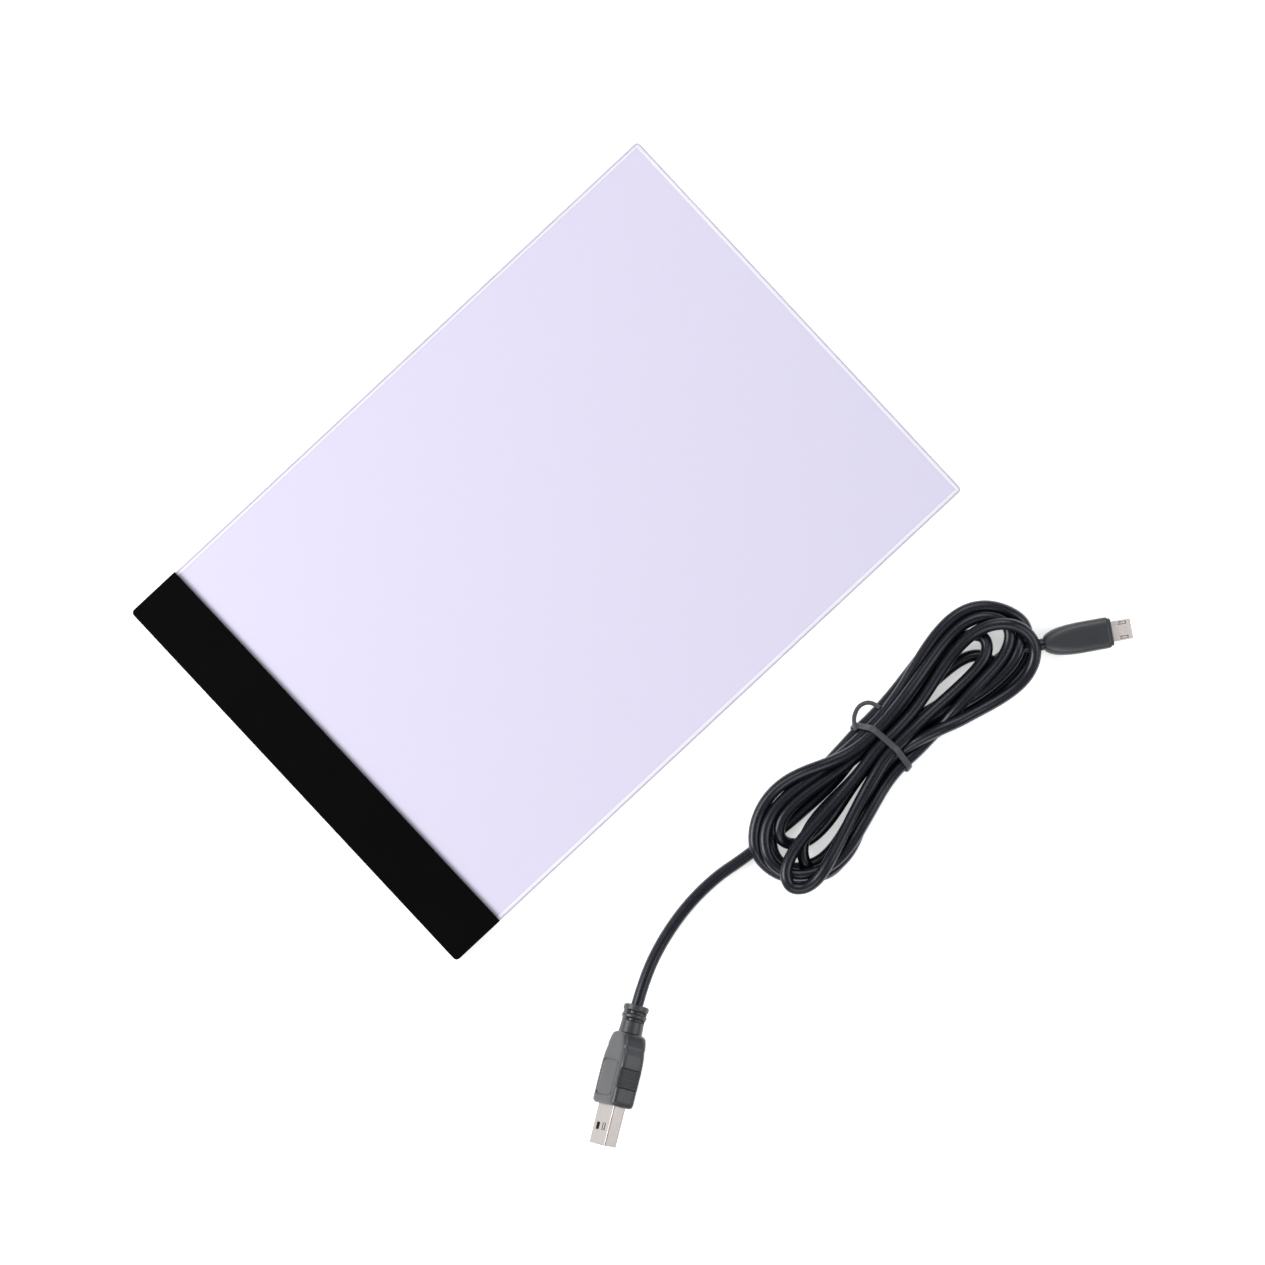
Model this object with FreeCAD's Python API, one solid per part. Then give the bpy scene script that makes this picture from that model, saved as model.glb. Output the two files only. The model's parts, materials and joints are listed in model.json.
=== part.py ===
"""LED tracing pad (light box) with its detachable USB lead.

Frame: millimetres, +Z up, origin on the surface below the middle of the pad.
X runs across the pad, Y along it, and the black end strip is at the -Y end.
The lead lies on the same surface, beside the pad's +X side, tied in a hank.
"""

import FreeCAD
import Part
import math
import os

os.makedirs("parts", exist_ok=True)
Vector = FreeCAD.Vector

# ---- driving dimensions: the pad ------------------------------------------
pad_width = 160.0
pad_length = 232.0
strip_depth = 20.0
corner_radius = 1.5
foot_height = 0.8
foot_radius = 4.0
foot_inset = 12.0
near_foot_inset = 26.0
back_thickness = 0.8
reflector_thickness = 0.2
guide_thickness = 2.5
diffuser_thickness = 0.25
top_thickness = 0.5
top_inset = 0.4
border_width = 1.7
bond_gap = 0.05
lip_overlap = 4.9
strip_rise = 1.0

# ---- driving dimensions: the strip and its electronics --------------------
strip_wall = 0.9
floor_thickness = 0.85
boss_radius = 2.3
pilot_radius = 0.75
screw_shank_radius = 0.7
screw_head_radius = 1.5
screw_head_height = 0.65
screw_length = 2.9
screw_xs = (-75.2, -25.0, 25.0, 75.2)
screw_row_inset = 8.0
led_count = 24
led_size = (3.0, 0.8, 1.4)
led_board_length = 148.0
led_board_size = (0.8, 2.4)
board_x = (-71.0, -34.0)
board_thickness = 0.8
socket_x = -56.0
socket_width = 7.5
socket_height = 2.45
socket_depth = 5.2
socket_wall = 0.3
touch_radius = 6.0
wire_radius = 0.45

# ---- driving dimensions: the lead ------------------------------------------
cord_diameter = 4.1
cord_radius = cord_diameter / 2
usb_a_axis_height = 6.75
usb_a_end = Vector(132.0, -81.7, usb_a_axis_height)
usb_a_yaw = -57.1
usb_a_pitch = -7.0
usb_a_roll = 65.0
usb_a_body = (24.4, 16.6, 8.8)
usb_a_relief_length = 10.0
usb_a_relief_radius = 4.0
usb_a_shell = (13.5, 12.0, 4.5)
usb_a_rib_count = 8
micro_end = Vector(136.7, 100.8, 3.6)
micro_yaw = 57.4
micro_body = (23.0, 10.6, 7.0)
micro_shell = (6.7, 6.85, 1.8)
micro_wall = 0.25
plug_wall = 0.3
latch_angle_limit = 4.5
hank_height = 14.0
tie_width = 2.3
tie_thickness = 0.8
tie_centre = Vector(124.4, 36.6, 0)
tie_turn = 6.2
tie_half_length = 12.6

# ---- heights and edges worked out from the driving dimensions ---------------
half_width = pad_width / 2
half_length = pad_length / 2
strip_front = -half_length
strip_edge = strip_front + strip_depth
panel_edge = strip_edge - lip_overlap
z_back = foot_height
z_reflector = z_back + back_thickness
z_guide = z_reflector + reflector_thickness
z_diffuser = z_guide + guide_thickness
z_top = z_diffuser + diffuser_thickness
z_panel = z_top + top_thickness
z_strip = z_panel + strip_rise
z_roof = z_strip - strip_wall
z_floor = z_back + floor_thickness
z_board = z_floor + 0.1
z_board_top = z_board + board_thickness
screw_y = strip_front + screw_row_inset
boss_meeting = z_floor + 0.75


# ---- helpers ----------------------------------------------------------------
def write(node, shape):
    """Save one sub-part and say what it is."""
    if not shape.isValid():
        print("INVALID", node)
    shape.exportStep("parts/" + node + ".step")
    print(node, len(shape.Solids), "solids", round(shape.Volume, 1), "mm3")


def block(x, y, z):
    """A box between the pairs x, y and z."""
    size = (x[1] - x[0], y[1] - y[0], z[1] - z[0])
    return Part.makeBox(*size, Vector(x[0], y[0], z[0]))


def cylinder(centre, radius, z):
    """An upright cylinder between the heights z."""
    return Part.makeCylinder(radius, z[1] - z[0], Vector(centre[0], centre[1], z[0]))


def plate(x, y, z, radius, corners="both"):
    """A flat plate whose far, near or all four upright corners are round."""
    shape = block(x, y, z)
    chosen = []
    for edge in shape.Edges:
        first, last = edge.Vertexes[0].Point, edge.Vertexes[-1].Point
        upright = abs(first.z - last.z) > (z[1] - z[0]) * 0.9
        at_far_end = first.y > (y[0] + y[1]) / 2
        wanted = corners == "both" or (corners == "far") == at_far_end
        if upright and wanted:
            chosen.append(edge)
    return shape.makeFillet(radius, chosen)


def symmetric(half):
    """The pair of bounds at equal distances from the middle."""
    return (-half, half)


def rounded_section(width, height, radius, x, lift=0.0):
    """A rounded rectangle in the plane across the local X axis, as a wire."""
    a, b = width / 2 - radius, height / 2 - radius
    diagonal = radius * math.sqrt(0.5)
    edges = []
    corners = ((1, 1), (-1, 1), (-1, -1), (1, -1))
    for index, (sy, sz) in enumerate(corners):
        ny, nz = corners[(index + 1) % 4]
        centre = (sy * a, sz * b)
        side_first = index % 2 == 0
        on_side = (centre[0] + sy * radius, centre[1])
        on_top = (centre[0], centre[1] + sz * radius)
        start, finish = (on_side, on_top) if side_first else (on_top, on_side)
        middle = (centre[0] + sy * diagonal, centre[1] + sz * diagonal)
        points = [Vector(x, p[0], p[1] + lift) for p in (start, middle, finish)]
        edges.append(Part.Arc(*points).toShape())
        if side_first:
            next_start = (ny * a, nz * b + nz * radius)
        else:
            next_start = (ny * a + ny * radius, nz * b)
        flat_end = Vector(x, next_start[0], next_start[1] + lift)
        edges.append(Part.LineSegment(points[2], flat_end).toShape())
    return Part.Wire(edges)


def loft(sections):
    """A closed solid through rounded sections, given as (x, width, height, radius)."""
    wires = [rounded_section(width, height, radius, x) for x, width, height, radius in sections]
    return Part.makeLoft(wires, True, False)


def bent_tube(name, points, radius):
    """A round tube along straight runs joined by tangent arcs as large as the runs allow."""
    points = [Vector(*point) for point in points]
    edges = []
    start = points[0]
    radii = []
    for before, corner, after in zip(points, points[1:], points[2:]):
        back, ahead = before - corner, after - corner
        shorter = min(back.Length, ahead.Length)
        back.normalize()
        ahead.normalize()
        half_turn = (math.pi - back.getAngle(ahead)) / 2
        reach = 0.45 * shorter
        arc_radius = reach / math.tan(half_turn)
        radii.append(round(arc_radius, 1))
        enter, leave = corner + back * reach, corner + ahead * reach
        inward = (back + ahead).normalize()
        depth = arc_radius / math.cos(half_turn) - arc_radius
        edges.append(Part.LineSegment(start, enter).toShape())
        edges.append(Part.Arc(enter, corner + inward * depth, leave).toShape())
        start = leave
    edges.append(Part.LineSegment(start, points[-1]).toShape())
    path = Part.Wire(edges)
    direction = points[1] - points[0]
    ring = Part.Wire(Part.Circle(points[0], direction, radius).toShape())
    tube = path.makePipeShell([ring], True, False)
    expected = math.pi * radius ** 2 * path.Length
    print(name, "length", round(path.Length, 1), "radii", radii, "volume ratio",
          round(tube.Volume / expected, 4))
    return tube


def placed(shape, place):
    """A copy of the shape moved from its own frame to the pad's frame."""
    moved = shape.copy()
    moved.Placement = place.multiply(moved.Placement)
    return moved


# ---- the light panel --------------------------------------------------------
def light_panel():
    """The stack of sheets, from the back sheet up to the clear top sheet."""
    full_x = symmetric(half_width)
    inner_x = symmetric(half_width - border_width)
    top_x = symmetric(half_width - top_inset)
    far_inner = half_length - border_width
    far_top = half_length - top_inset
    rear_start = strip_edge - 1.0
    tape_start, tape_end = panel_edge - 1.5, panel_edge + 2.0

    back = plate(full_x, (rear_start, half_length), (z_back, z_reflector), corner_radius, "far")
    write("back_sheet", back)

    reflector = plate(inner_x, (rear_start + border_width, far_inner), (z_reflector, z_guide), 1.0)
    write("reflector_sheet", reflector)

    rear_outer = plate(top_x, (rear_start + top_inset, far_top), (z_reflector, z_guide), 1.2)
    rear_hole = block(symmetric(inner_x[1] + bond_gap),
                      (rear_start + border_width - bond_gap, far_inner + bond_gap), (0, z_strip))
    write("rear_bond_frame", rear_outer.cut(rear_hole))

    guide = plate(full_x, (panel_edge, half_length), (z_guide, z_diffuser), corner_radius, "far")
    write("light_guide", guide)

    diffuser = plate(inner_x, (tape_end + 0.2, far_inner), (z_diffuser, z_top), 1.0)
    write("diffuser_sheet", diffuser)

    bond = plate(top_x, (tape_end + 0.2, far_top), (z_diffuser, z_top), 1.2, "far")
    hole = block(symmetric(inner_x[1] + bond_gap), (panel_edge, far_inner + bond_gap), (0, z_strip))
    write("front_bond_frame", bond.cut(hole))

    write("shading_tape", block(symmetric(led_board_length / 2), (tape_start, tape_end),
                                (z_diffuser + 0.02, z_diffuser + 0.14)))

    write("top_sheet", plate(top_x, (panel_edge + 0.4, far_top), (z_top, z_panel), 1.2, "far"))


# ---- the black end strip ----------------------------------------------------
def strip_covers():
    """The top cover with its lip over the panel, the bottom cover, and the screws."""
    wall_end = panel_edge - 0.2
    outer_x = symmetric(half_width)
    inner_x = symmetric(half_width - strip_wall)
    roof = plate(outer_x, (strip_front, strip_edge), (z_roof, z_strip), corner_radius, "near")
    wall = plate(outer_x, (strip_front, wall_end), (z_floor, z_roof), corner_radius, "near")
    wall = wall.cut(block(inner_x, (strip_front + strip_wall, strip_edge), (0, z_strip)))
    notch_x = (socket_x - socket_width / 2 - 0.3, socket_x + socket_width / 2 + 0.3)
    wall = wall.cut(block(notch_x, (strip_front - 1, strip_front + 2), (z_floor, z_roof)))
    top = roof.fuse(wall)
    for x in screw_xs:
        top = top.fuse(cylinder((x, screw_y), boss_radius, (boss_meeting, z_roof)))
    for x in screw_xs:
        top = top.cut(cylinder((x, screw_y), pilot_radius, (boss_meeting, z_roof - 0.2)))
    top = top.removeSplitter()
    crest = [edge for edge in top.Edges
             if min(v.Z for v in edge.Vertexes) > z_strip - 0.01]
    top = top.makeFillet(0.45, crest)
    write("strip_top_cover", top)

    bottom_y = (strip_front, strip_edge - 1.2)
    bottom = plate(outer_x, bottom_y, (z_back, z_floor - 0.02), corner_radius, "near")
    rim_gap = strip_wall + 0.1
    rim = block(symmetric(half_width - rim_gap), (strip_front + rim_gap, wall_end - 0.4),
                (z_floor - 0.3, boss_meeting))
    rim_hole = block(symmetric(half_width - rim_gap - 0.7), (strip_front + rim_gap + 0.7, strip_edge),
                     (0, z_strip))
    bottom = bottom.fuse(rim.cut(rim_hole))
    sill_x = (notch_x[0] + 0.1, notch_x[1] - 0.1)
    bottom = bottom.fuse(block(sill_x, (strip_front, strip_front + rim_gap + 0.1),
                               (z_floor - 0.3, z_board_top - 0.1)))
    for x in screw_xs:
        bottom = bottom.fuse(cylinder((x, screw_y), boss_radius, (z_back, boss_meeting - 0.02)))
    head_seat = z_back + screw_head_height + 0.05
    for x in screw_xs:
        bottom = bottom.cut(cylinder((x, screw_y), screw_shank_radius + 0.1, (0, z_strip)))
        bottom = bottom.cut(cylinder((x, screw_y), screw_head_radius + 0.2, (0, head_seat)))
    write("strip_bottom_cover", bottom.removeSplitter())

    screws = []
    for x in screw_xs:
        head = cylinder((x, screw_y), screw_head_radius, (z_back + 0.03, z_back + screw_head_height))
        shank = cylinder((x, screw_y), screw_shank_radius,
                         (z_back + screw_head_height, z_back + screw_head_height + screw_length))
        slot_a = block((x - 0.9, x + 0.9), (screw_y - 0.15, screw_y + 0.15), (z_back, z_back + 0.35))
        slot_b = block((x - 0.15, x + 0.15), (screw_y - 0.9, screw_y + 0.9), (z_back, z_back + 0.35))
        screws.append(head.fuse(shank).cut(slot_a.fuse(slot_b)).removeSplitter())
    write("cover_screws", Part.makeCompound(screws))


def rubber_feet():
    """Four stick-on feet, each its own sub-part."""
    for side_x, word_x in ((-1, "left"), (1, "right")):
        for side_y, word_y in ((-1, "near"), (1, "far")):
            inset_y = foot_inset if word_y == "far" else near_foot_inset
            centre = (side_x * (half_width - foot_inset), side_y * (half_length - inset_y))
            foot = cylinder(centre, foot_radius, (0, foot_height))
            rim = [edge for edge in foot.Edges if edge.BoundBox.ZMax < foot_height / 2]
            write("foot_" + word_y + "_" + word_x, foot.makeFillet(0.25, rim))


# ---- electronics in the strip -----------------------------------------------
def light_source():
    """The LED board on its edge, and the chips that face the light guide."""
    chip_back = panel_edge - 0.1 - led_size[1]
    middle = z_guide + guide_thickness / 2
    board_y = (chip_back - led_board_size[0], chip_back)
    board_z = (middle - led_board_size[1] / 2, middle + led_board_size[1] / 2)
    write("led_board", block(symmetric(led_board_length / 2), board_y, board_z))
    pitch = led_board_length / led_count
    chips = []
    for index in range(led_count):
        x = (index - (led_count - 1) / 2) * pitch
        chip = block((x - led_size[0] / 2, x + led_size[0] / 2), (chip_back, chip_back + led_size[1]),
                     (middle - led_size[2] / 2, middle + led_size[2] / 2))
        chips.append(chip)
    write("led_chips", Part.makeCompound(chips))
    return board_y[0], middle


def driver_electronics(led_board_back, led_middle):
    """The driver board with its chips, the touch electrode and the wires."""
    board_y = (strip_front + strip_wall + 0.95, led_board_back - 0.6)
    write("driver_board", block(board_x, board_y, (z_board, z_board_top)))
    top = z_board_top
    write("driver_chip", block((-47.0, -42.0), (-110.0, -106.0), (top, top + 1.4)))
    write("inductor", plate((-40.5, -36.0), (-110.5, -106.0), (top, top + 2.0), 0.8))
    small = []
    for index in range(5):
        x = -65.0 + 3.0 * index
        small.append(block((x, x + 1.6), (-106.4, -105.6), (top, top + 0.8)))
    for index in range(3):
        x = -47.5 + 4.0 * index
        small.append(block((x, x + 1.6), (-113.2, -112.4), (top, top + 0.8)))
    write("small_chips", Part.makeCompound(small))
    write("touch_chip", block((-67.0, -64.0), (-110.5, -108.9), (top, top + 1.1)))

    write("touch_electrode", cylinder((0, screw_y), touch_radius, (z_roof - 0.15, z_roof)))
    wire_z = top + wire_radius + 0.05
    touch_path = [(-36.5, -104.6, wire_z), (-31.0, -104.4, wire_z), (-22.0, -104.9, wire_z),
                  (-12.0, -106.0, wire_z + 0.5), (-4.0, -107.6, z_roof - 0.15 - wire_radius)]
    write("touch_wire", bent_tube("touch_wire", touch_path, wire_radius))
    pad_x = board_x[0] + 1.5
    board_back_y = led_board_back - wire_radius
    red_route = [(pad_x + 1.0, -104.4, wire_z), (pad_x - 1.2, -104.3, wire_z + 0.1),
                 (pad_x - 2.6, -103.5, wire_z + 0.4), (pad_x - 2.9, board_back_y, led_middle + 0.2)]
    write("led_wire_red", bent_tube("led_wire_red", red_route, wire_radius))
    black_route = [(pad_x + 2.4, -105.6, wire_z), (pad_x + 1.0, -105.5, wire_z + 1.05),
                   (pad_x + 0.08, -104.7, wire_z + 1.35), (pad_x - 0.22, board_back_y, led_middle + 1.15)]
    write("led_wire_black", bent_tube("led_wire_black", black_route, wire_radius))


def usb_socket():
    """The micro-USB socket: shell open to -Y, tongue and contacts."""
    y = (strip_front + 0.15, strip_front + 0.15 + socket_depth)
    z = (z_board_top, z_board_top + socket_height)
    x = (socket_x - socket_width / 2, socket_x + socket_width / 2)
    wall = socket_wall
    shell = block(x, y, z)
    inside_x, inside_z = (x[0] + wall, x[1] - wall), (z[0] + wall, z[1] - wall)
    write("socket_shell", shell.cut(block(inside_x, (y[0] - 1, y[1] - wall), inside_z)))
    middle = (z[0] + z[1]) / 2
    tongue_x = (socket_x - 1.9, socket_x + 1.9)
    tongue = block(tongue_x, (y[0] + 1.0, y[1] - wall), (middle + 0.05, middle + 0.55))
    base = block(inside_x, (y[1] - wall - 0.9, y[1] - wall), inside_z)
    write("socket_tongue", tongue.fuse(base).removeSplitter())
    contacts = []
    for index in range(5):
        centre = socket_x + (index - 2) * 0.65
        contacts.append(block((centre - 0.15, centre + 0.15), (y[0] + 1.3, y[1] - wall - 0.9),
                              (middle - 0.05, middle + 0.05)))
    write("socket_contacts", Part.makeCompound(contacts))


# ---- the lead ----------------------------------------------------------------
def usb_a_plug():
    """The rolled USB-A plug: grip with ribs, strain relief, shell, insert and contacts."""
    place = FreeCAD.Placement(usb_a_end, FreeCAD.Rotation(usb_a_yaw, usb_a_pitch, usb_a_roll))
    body_length, body_width, body_height = usb_a_body
    start = usb_a_relief_length
    end = start + body_length
    radius = usb_a_relief_radius
    widest = (body_width, body_height, 2.0)
    body = loft([(start, 9.0, 8.0, 2.4), (start + 2.0, 12.8, 8.5, 2.4), (start + 4.2, 15.6, 8.8, 2.2),
                 (start + 6.5, *widest)])
    body = body.fuse(loft([(start + 6.5, *widest), (end - 0.8, *widest)]))
    body = body.fuse(loft([(end - 0.8, *widest), (end, body_width - 1.2, body_height - 1.2, 1.4)]))
    relief = Part.makeCylinder(radius, start + 1.0, Vector(0, 0, 0), Vector(1, 0, 0))
    for index in range(3):
        x = 2.4 + 2.6 * index
        for side in (-1, 1):
            relief = relief.cut(block((x, x + 1.1), sorted((side * 1.5, side * 5.0)), (-5, 5)))
    bore = Part.makeCylinder(cord_radius, 9.0, Vector(-1, 0, 0), Vector(1, 0, 0))
    grip = body.fuse(relief).cut(bore)
    rib_pitch = 1.25
    for index in range(usb_a_rib_count):
        x = start + 9.0 + rib_pitch * index
        for side in (-1, 1):
            outer = side * (body_width / 2 + 1.0)
            inner = side * (body_width / 2 - 0.45)
            grip = grip.cut(block((x, x + 0.6), sorted((outer, inner)), (-2.6, 2.6)))
    shell_length, shell_width, shell_height = usb_a_shell
    inside = 6.0
    cavity = block((end - inside, end + 1), symmetric(shell_width / 2), symmetric(shell_height / 2))
    grip = grip.cut(cavity)
    write("usb_a_grip", placed(grip.removeSplitter(), place))

    shell_x = (end - inside + 0.1, end + shell_length)
    shell = block(shell_x, symmetric(shell_width / 2), symmetric(shell_height / 2))
    long_edges = [edge for edge in shell.Edges if edge.BoundBox.XLength > 1]
    shell = shell.makeFillet(0.5, long_edges)
    hollow_y, hollow_z = symmetric(shell_width / 2 - plug_wall), symmetric(shell_height / 2 - plug_wall)
    shell = shell.cut(block((end - inside, end + shell_length + 1), hollow_y, hollow_z))
    for y in (-2.25, 2.25):
        shell = shell.cut(block((end + 6.2, end + 8.7), (y - 1.15, y + 1.15), (-4, 4)))
    write("usb_a_shell", placed(shell, place))

    insert_top = -0.05
    insert_y = symmetric(shell_width / 2 - plug_wall - 0.05)
    insert_z = (-shell_height / 2 + plug_wall + 0.05, insert_top)
    insert = block((end - inside + 0.2, end + shell_length - 0.6), insert_y, insert_z)
    write("usb_a_insert", placed(insert, place))
    contacts = []
    for index, y in enumerate((-3.5, -1.0, 1.0, 3.5)):
        tip = end + shell_length - (1.6 if index in (0, 3) else 2.6)
        contacts.append(block((tip - 7.5, tip), (y - 0.6, y + 0.6), (insert_top, insert_top + 0.25)))
    write("usb_a_contacts", placed(Part.makeCompound(contacts), place))
    mouth = place.multVec(Vector(end + shell_length, 0, 0))
    print("usb_a_plug_end", mouth, "axis", place.Rotation.multVec(Vector(1, 0, 0)))


def micro_plug():
    """The micro-USB plug: bullet-shaped grip, shell, insert, contacts and two latches."""
    place = FreeCAD.Placement(micro_end, FreeCAD.Rotation(micro_yaw, 0, 0))
    length, width, height = micro_body
    shoulder = (10.5, width - 0.1, height - 0.05, 2.2)
    front = (length - 0.6, width, height, 2.2)
    grip = loft([(0, 5.2, 5.2, 2.4), (1.6, 7.2, 5.8, 2.6), (4.0, 8.8, 6.3, 2.6), (7.0, 10.0, 6.7, 2.4),
                 shoulder])
    grip = grip.fuse(loft([shoulder, front]))
    grip = grip.fuse(loft([front, (length, width - 0.9, height - 0.9, 1.8)]))
    shell_length, shell_width, shell_height = micro_shell
    inside = 4.0
    cavity_y, cavity_z = symmetric(shell_width / 2), symmetric(shell_height / 2)
    grip = grip.cut(block((length - inside, length + 1), cavity_y, cavity_z))
    grip = grip.cut(Part.makeCylinder(cord_radius, 4.0, Vector(-1, 0, 0), Vector(1, 0, 0)))
    write("micro_grip", placed(grip.removeSplitter(), place))

    rear = length - inside + 0.1
    tip = length + shell_length
    half_w, half_h = shell_width / 2, shell_height / 2
    chamfer = 0.9
    outline = [(-half_w, half_h), (half_w, half_h), (half_w, -half_h + chamfer),
               (half_w - chamfer, -half_h), (-half_w + chamfer, -half_h), (-half_w, -half_h + chamfer),
               (-half_w, half_h)]
    outer = Part.Face(Part.makePolygon([Vector(rear, y, z) for y, z in outline]))
    outer = outer.extrude(Vector(tip - rear, 0, 0))
    wall = micro_wall
    inner_outline = [(-half_w + wall, half_h - wall), (half_w - wall, half_h - wall),
                     (half_w - wall, -half_h + chamfer + 0.1), (half_w - chamfer - 0.1, -half_h + wall),
                     (-half_w + chamfer + 0.1, -half_h + wall), (-half_w + wall, -half_h + chamfer + 0.1),
                     (-half_w + wall, half_h - wall)]
    inner = Part.Face(Part.makePolygon([Vector(rear - 1, y, z) for y, z in inner_outline]))
    shell = outer.cut(inner.extrude(Vector(tip - rear + 2, 0, 0)))
    latch_y = 2.45
    for side in (-1, 1):
        slot_y = (side * latch_y - 0.5, side * latch_y + 0.5)
        shell = shell.cut(block((length + 2.4, length + 5.2), slot_y, (0, 2)))
    write("micro_shell", placed(shell, place))

    insert_z = (-half_h + wall + 0.03, -0.28)
    insert = block((rear + 0.1, tip - 0.4), symmetric(half_w - wall - 0.75), insert_z)
    write("micro_insert", placed(insert, place))
    contacts = []
    for index in range(5):
        y = (index - 2) * 0.65
        contacts.append(block((tip - 4.6, tip - 0.8), (y - 0.18, y + 0.18), (-0.28, -0.2)))
    write("micro_contacts", placed(Part.makeCompound(contacts), place))

    for side, word in ((-1, "right"), (1, "left")):
        y = (side * latch_y - 0.3, side * latch_y + 0.3)
        arm = block((length - 0.9, length + 5.0), y, (0.33, 0.53))
        barb_outline = [(length + 3.0, 0.5), (length + 3.3, 1.22), (length + 4.0, 1.22),
                        (length + 4.9, 0.5), (length + 3.0, 0.5)]
        barb = Part.Face(Part.makePolygon([Vector(x, y[0], z) for x, z in barb_outline]))
        latch = arm.fuse(barb.extrude(Vector(0, 0.6, 0))).removeSplitter()
        write("micro_latch_" + word, placed(latch, place))
        pivot = place.multVec(Vector(length - 0.7, side * latch_y, 0.43))
        print("latch", word, "pivot", pivot, "axis", place.Rotation.multVec(Vector(0, 1, 0)))


def cord_and_tie():
    """The loose stretch of cord, the hank it is wound into, and the twist tie."""
    tail = [tuple(usb_a_end), (126.7, -73.0, 5.4), (121.9, -60.3, 3.3), (119.1, -46.4, 2.35),
            (118.8, -33.2, 2.15), (120.4, -23.4, 2.1), (121.3, -15.0, 2.1)]
    tube = bent_tube("cord_tail", tail, cord_radius)
    print("cord_tail lowest", round(tube.BoundBox.ZMin, 3))
    write("cord_tail", tube)
    last_run = [(130.4, 90.9, 2.4), (133.5, 95.8, 3.1), (137.24, 101.64, 3.6)]
    write("cord_end", bent_tube("cord_end", last_run, cord_radius))

    outline = [(119.8, -22.0), (127.6, -21.8), (134.5, -20.0), (141.0, -19.0), (145.2, -13.0),
               (147.6, -4.0), (146.8, 7.1), (143.3, 17.3), (139.4, 27.9), (135.8, 38.0),
               (136.2, 48.5), (138.0, 60.0), (141.0, 72.0), (143.4, 83.0), (142.4, 91.4),
               (137.7, 97.9), (132.2, 101.6), (126.0, 103.2), (119.6, 102.2), (113.6, 98.0),
               (109.0, 91.0), (106.0, 81.0), (105.4, 69.5), (108.6, 56.0), (112.3, 45.5),
               (113.4, 36.0), (112.4, 26.0), (109.3, 14.0), (107.3, 3.0), (108.4, -9.0),
               (112.6, -17.4)]
    curve = Part.BSplineCurve()
    curve.interpolate(Points=[Vector(x, y, 0) for x, y in outline], PeriodicFlag=True)
    hank = Part.Face(Part.Wire(curve.toShape())).extrude(Vector(0, 0, hank_height))

    turn = FreeCAD.Placement(tie_centre, FreeCAD.Rotation(tie_turn, 0, 0))
    band_y = symmetric(tie_width / 2)
    outer = block(symmetric(tie_half_length), band_y, (0, hank_height + tie_thickness))
    round_edges = [edge for edge in outer.Edges if edge.BoundBox.YLength > 1]
    outer = outer.makeFillet(4.0, round_edges)
    inner = block(symmetric(tie_half_length - tie_thickness), symmetric(tie_width),
                  (tie_thickness, hank_height))
    inner_edges = [edge for edge in inner.Edges if edge.BoundBox.YLength > 1]
    band = placed(outer.cut(inner.makeFillet(3.4, inner_edges)), turn)
    loop_route = [(112.2, 36.0, 5.0), (110.3, 38.3, 5.0), (109.4, 41.2, 4.6), (110.6, 44.0, 4.0),
                  (113.4, 45.2, 3.4)]
    loop = bent_tube("tie_loop", loop_route, 0.7)
    tie = band.fuse(loop)
    write("twist_tie", tie)
    write("cord_hank", hank.cut(tie))


light_panel()
strip_covers()
rubber_feet()
board_back, board_middle = light_source()
driver_electronics(board_back, board_middle)
usb_socket()
usb_a_plug()
micro_plug()
cord_and_tie()
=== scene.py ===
# %% [markdown]
# # A slim tracing light box and its tied USB lead
# The real object is a flat light panel with a black strip along one short edge. Beside it lies a loose
# USB lead, wound into a hank and held by a twist tie. This lesson dresses a finished engineering model:
# the model says where everything is, and each step below gives one piece or one finish its looks.

# %% Load the fixed frame
import json
import math

import bmesh
import bpy
import numpy as np
from mathutils import Matrix, Vector


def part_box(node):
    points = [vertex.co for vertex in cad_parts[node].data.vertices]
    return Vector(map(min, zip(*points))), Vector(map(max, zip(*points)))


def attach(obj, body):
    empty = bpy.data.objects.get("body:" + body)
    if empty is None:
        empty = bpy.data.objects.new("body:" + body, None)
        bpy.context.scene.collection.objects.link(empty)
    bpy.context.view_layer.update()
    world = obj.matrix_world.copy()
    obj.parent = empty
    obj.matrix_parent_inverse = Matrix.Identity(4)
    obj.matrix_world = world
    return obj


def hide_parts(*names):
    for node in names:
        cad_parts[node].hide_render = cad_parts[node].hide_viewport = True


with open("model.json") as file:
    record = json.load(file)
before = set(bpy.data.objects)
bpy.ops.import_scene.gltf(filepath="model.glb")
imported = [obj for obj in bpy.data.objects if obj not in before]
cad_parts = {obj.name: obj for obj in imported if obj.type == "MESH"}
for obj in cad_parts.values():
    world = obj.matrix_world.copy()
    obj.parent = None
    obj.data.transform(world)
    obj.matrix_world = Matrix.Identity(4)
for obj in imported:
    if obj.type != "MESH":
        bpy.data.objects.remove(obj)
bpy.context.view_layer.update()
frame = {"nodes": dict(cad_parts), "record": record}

mm = 0.001
nodes = frame["nodes"]


def add_object(name, data):
    """A new object in the scene, around a mesh, a curve, a lamp or a camera."""
    made = bpy.data.objects.new(name, data)
    bpy.context.scene.collection.objects.link(made)
    return made


# %% [markdown]
# ## Where the viewer stands
# The object is looked at from straight above, with the pad turned so that its strip is at the lower left.
# A long lens keeps the pad's sides parallel. The camera needs only a height, which follows from the lens
# and from how much desk the view takes in, and one turn about the upright axis.

# %% Camera
view_width = 424.4 * mm
view_turn = math.radians(47.0)
lens_length = 135.0
sensor_width = 36.0
guide_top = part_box("light_guide")[1].z
view_centre = Vector((39.6 * mm, 2.4 * mm, 0.0))
view_height = view_width * lens_length / sensor_width + guide_top

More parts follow.
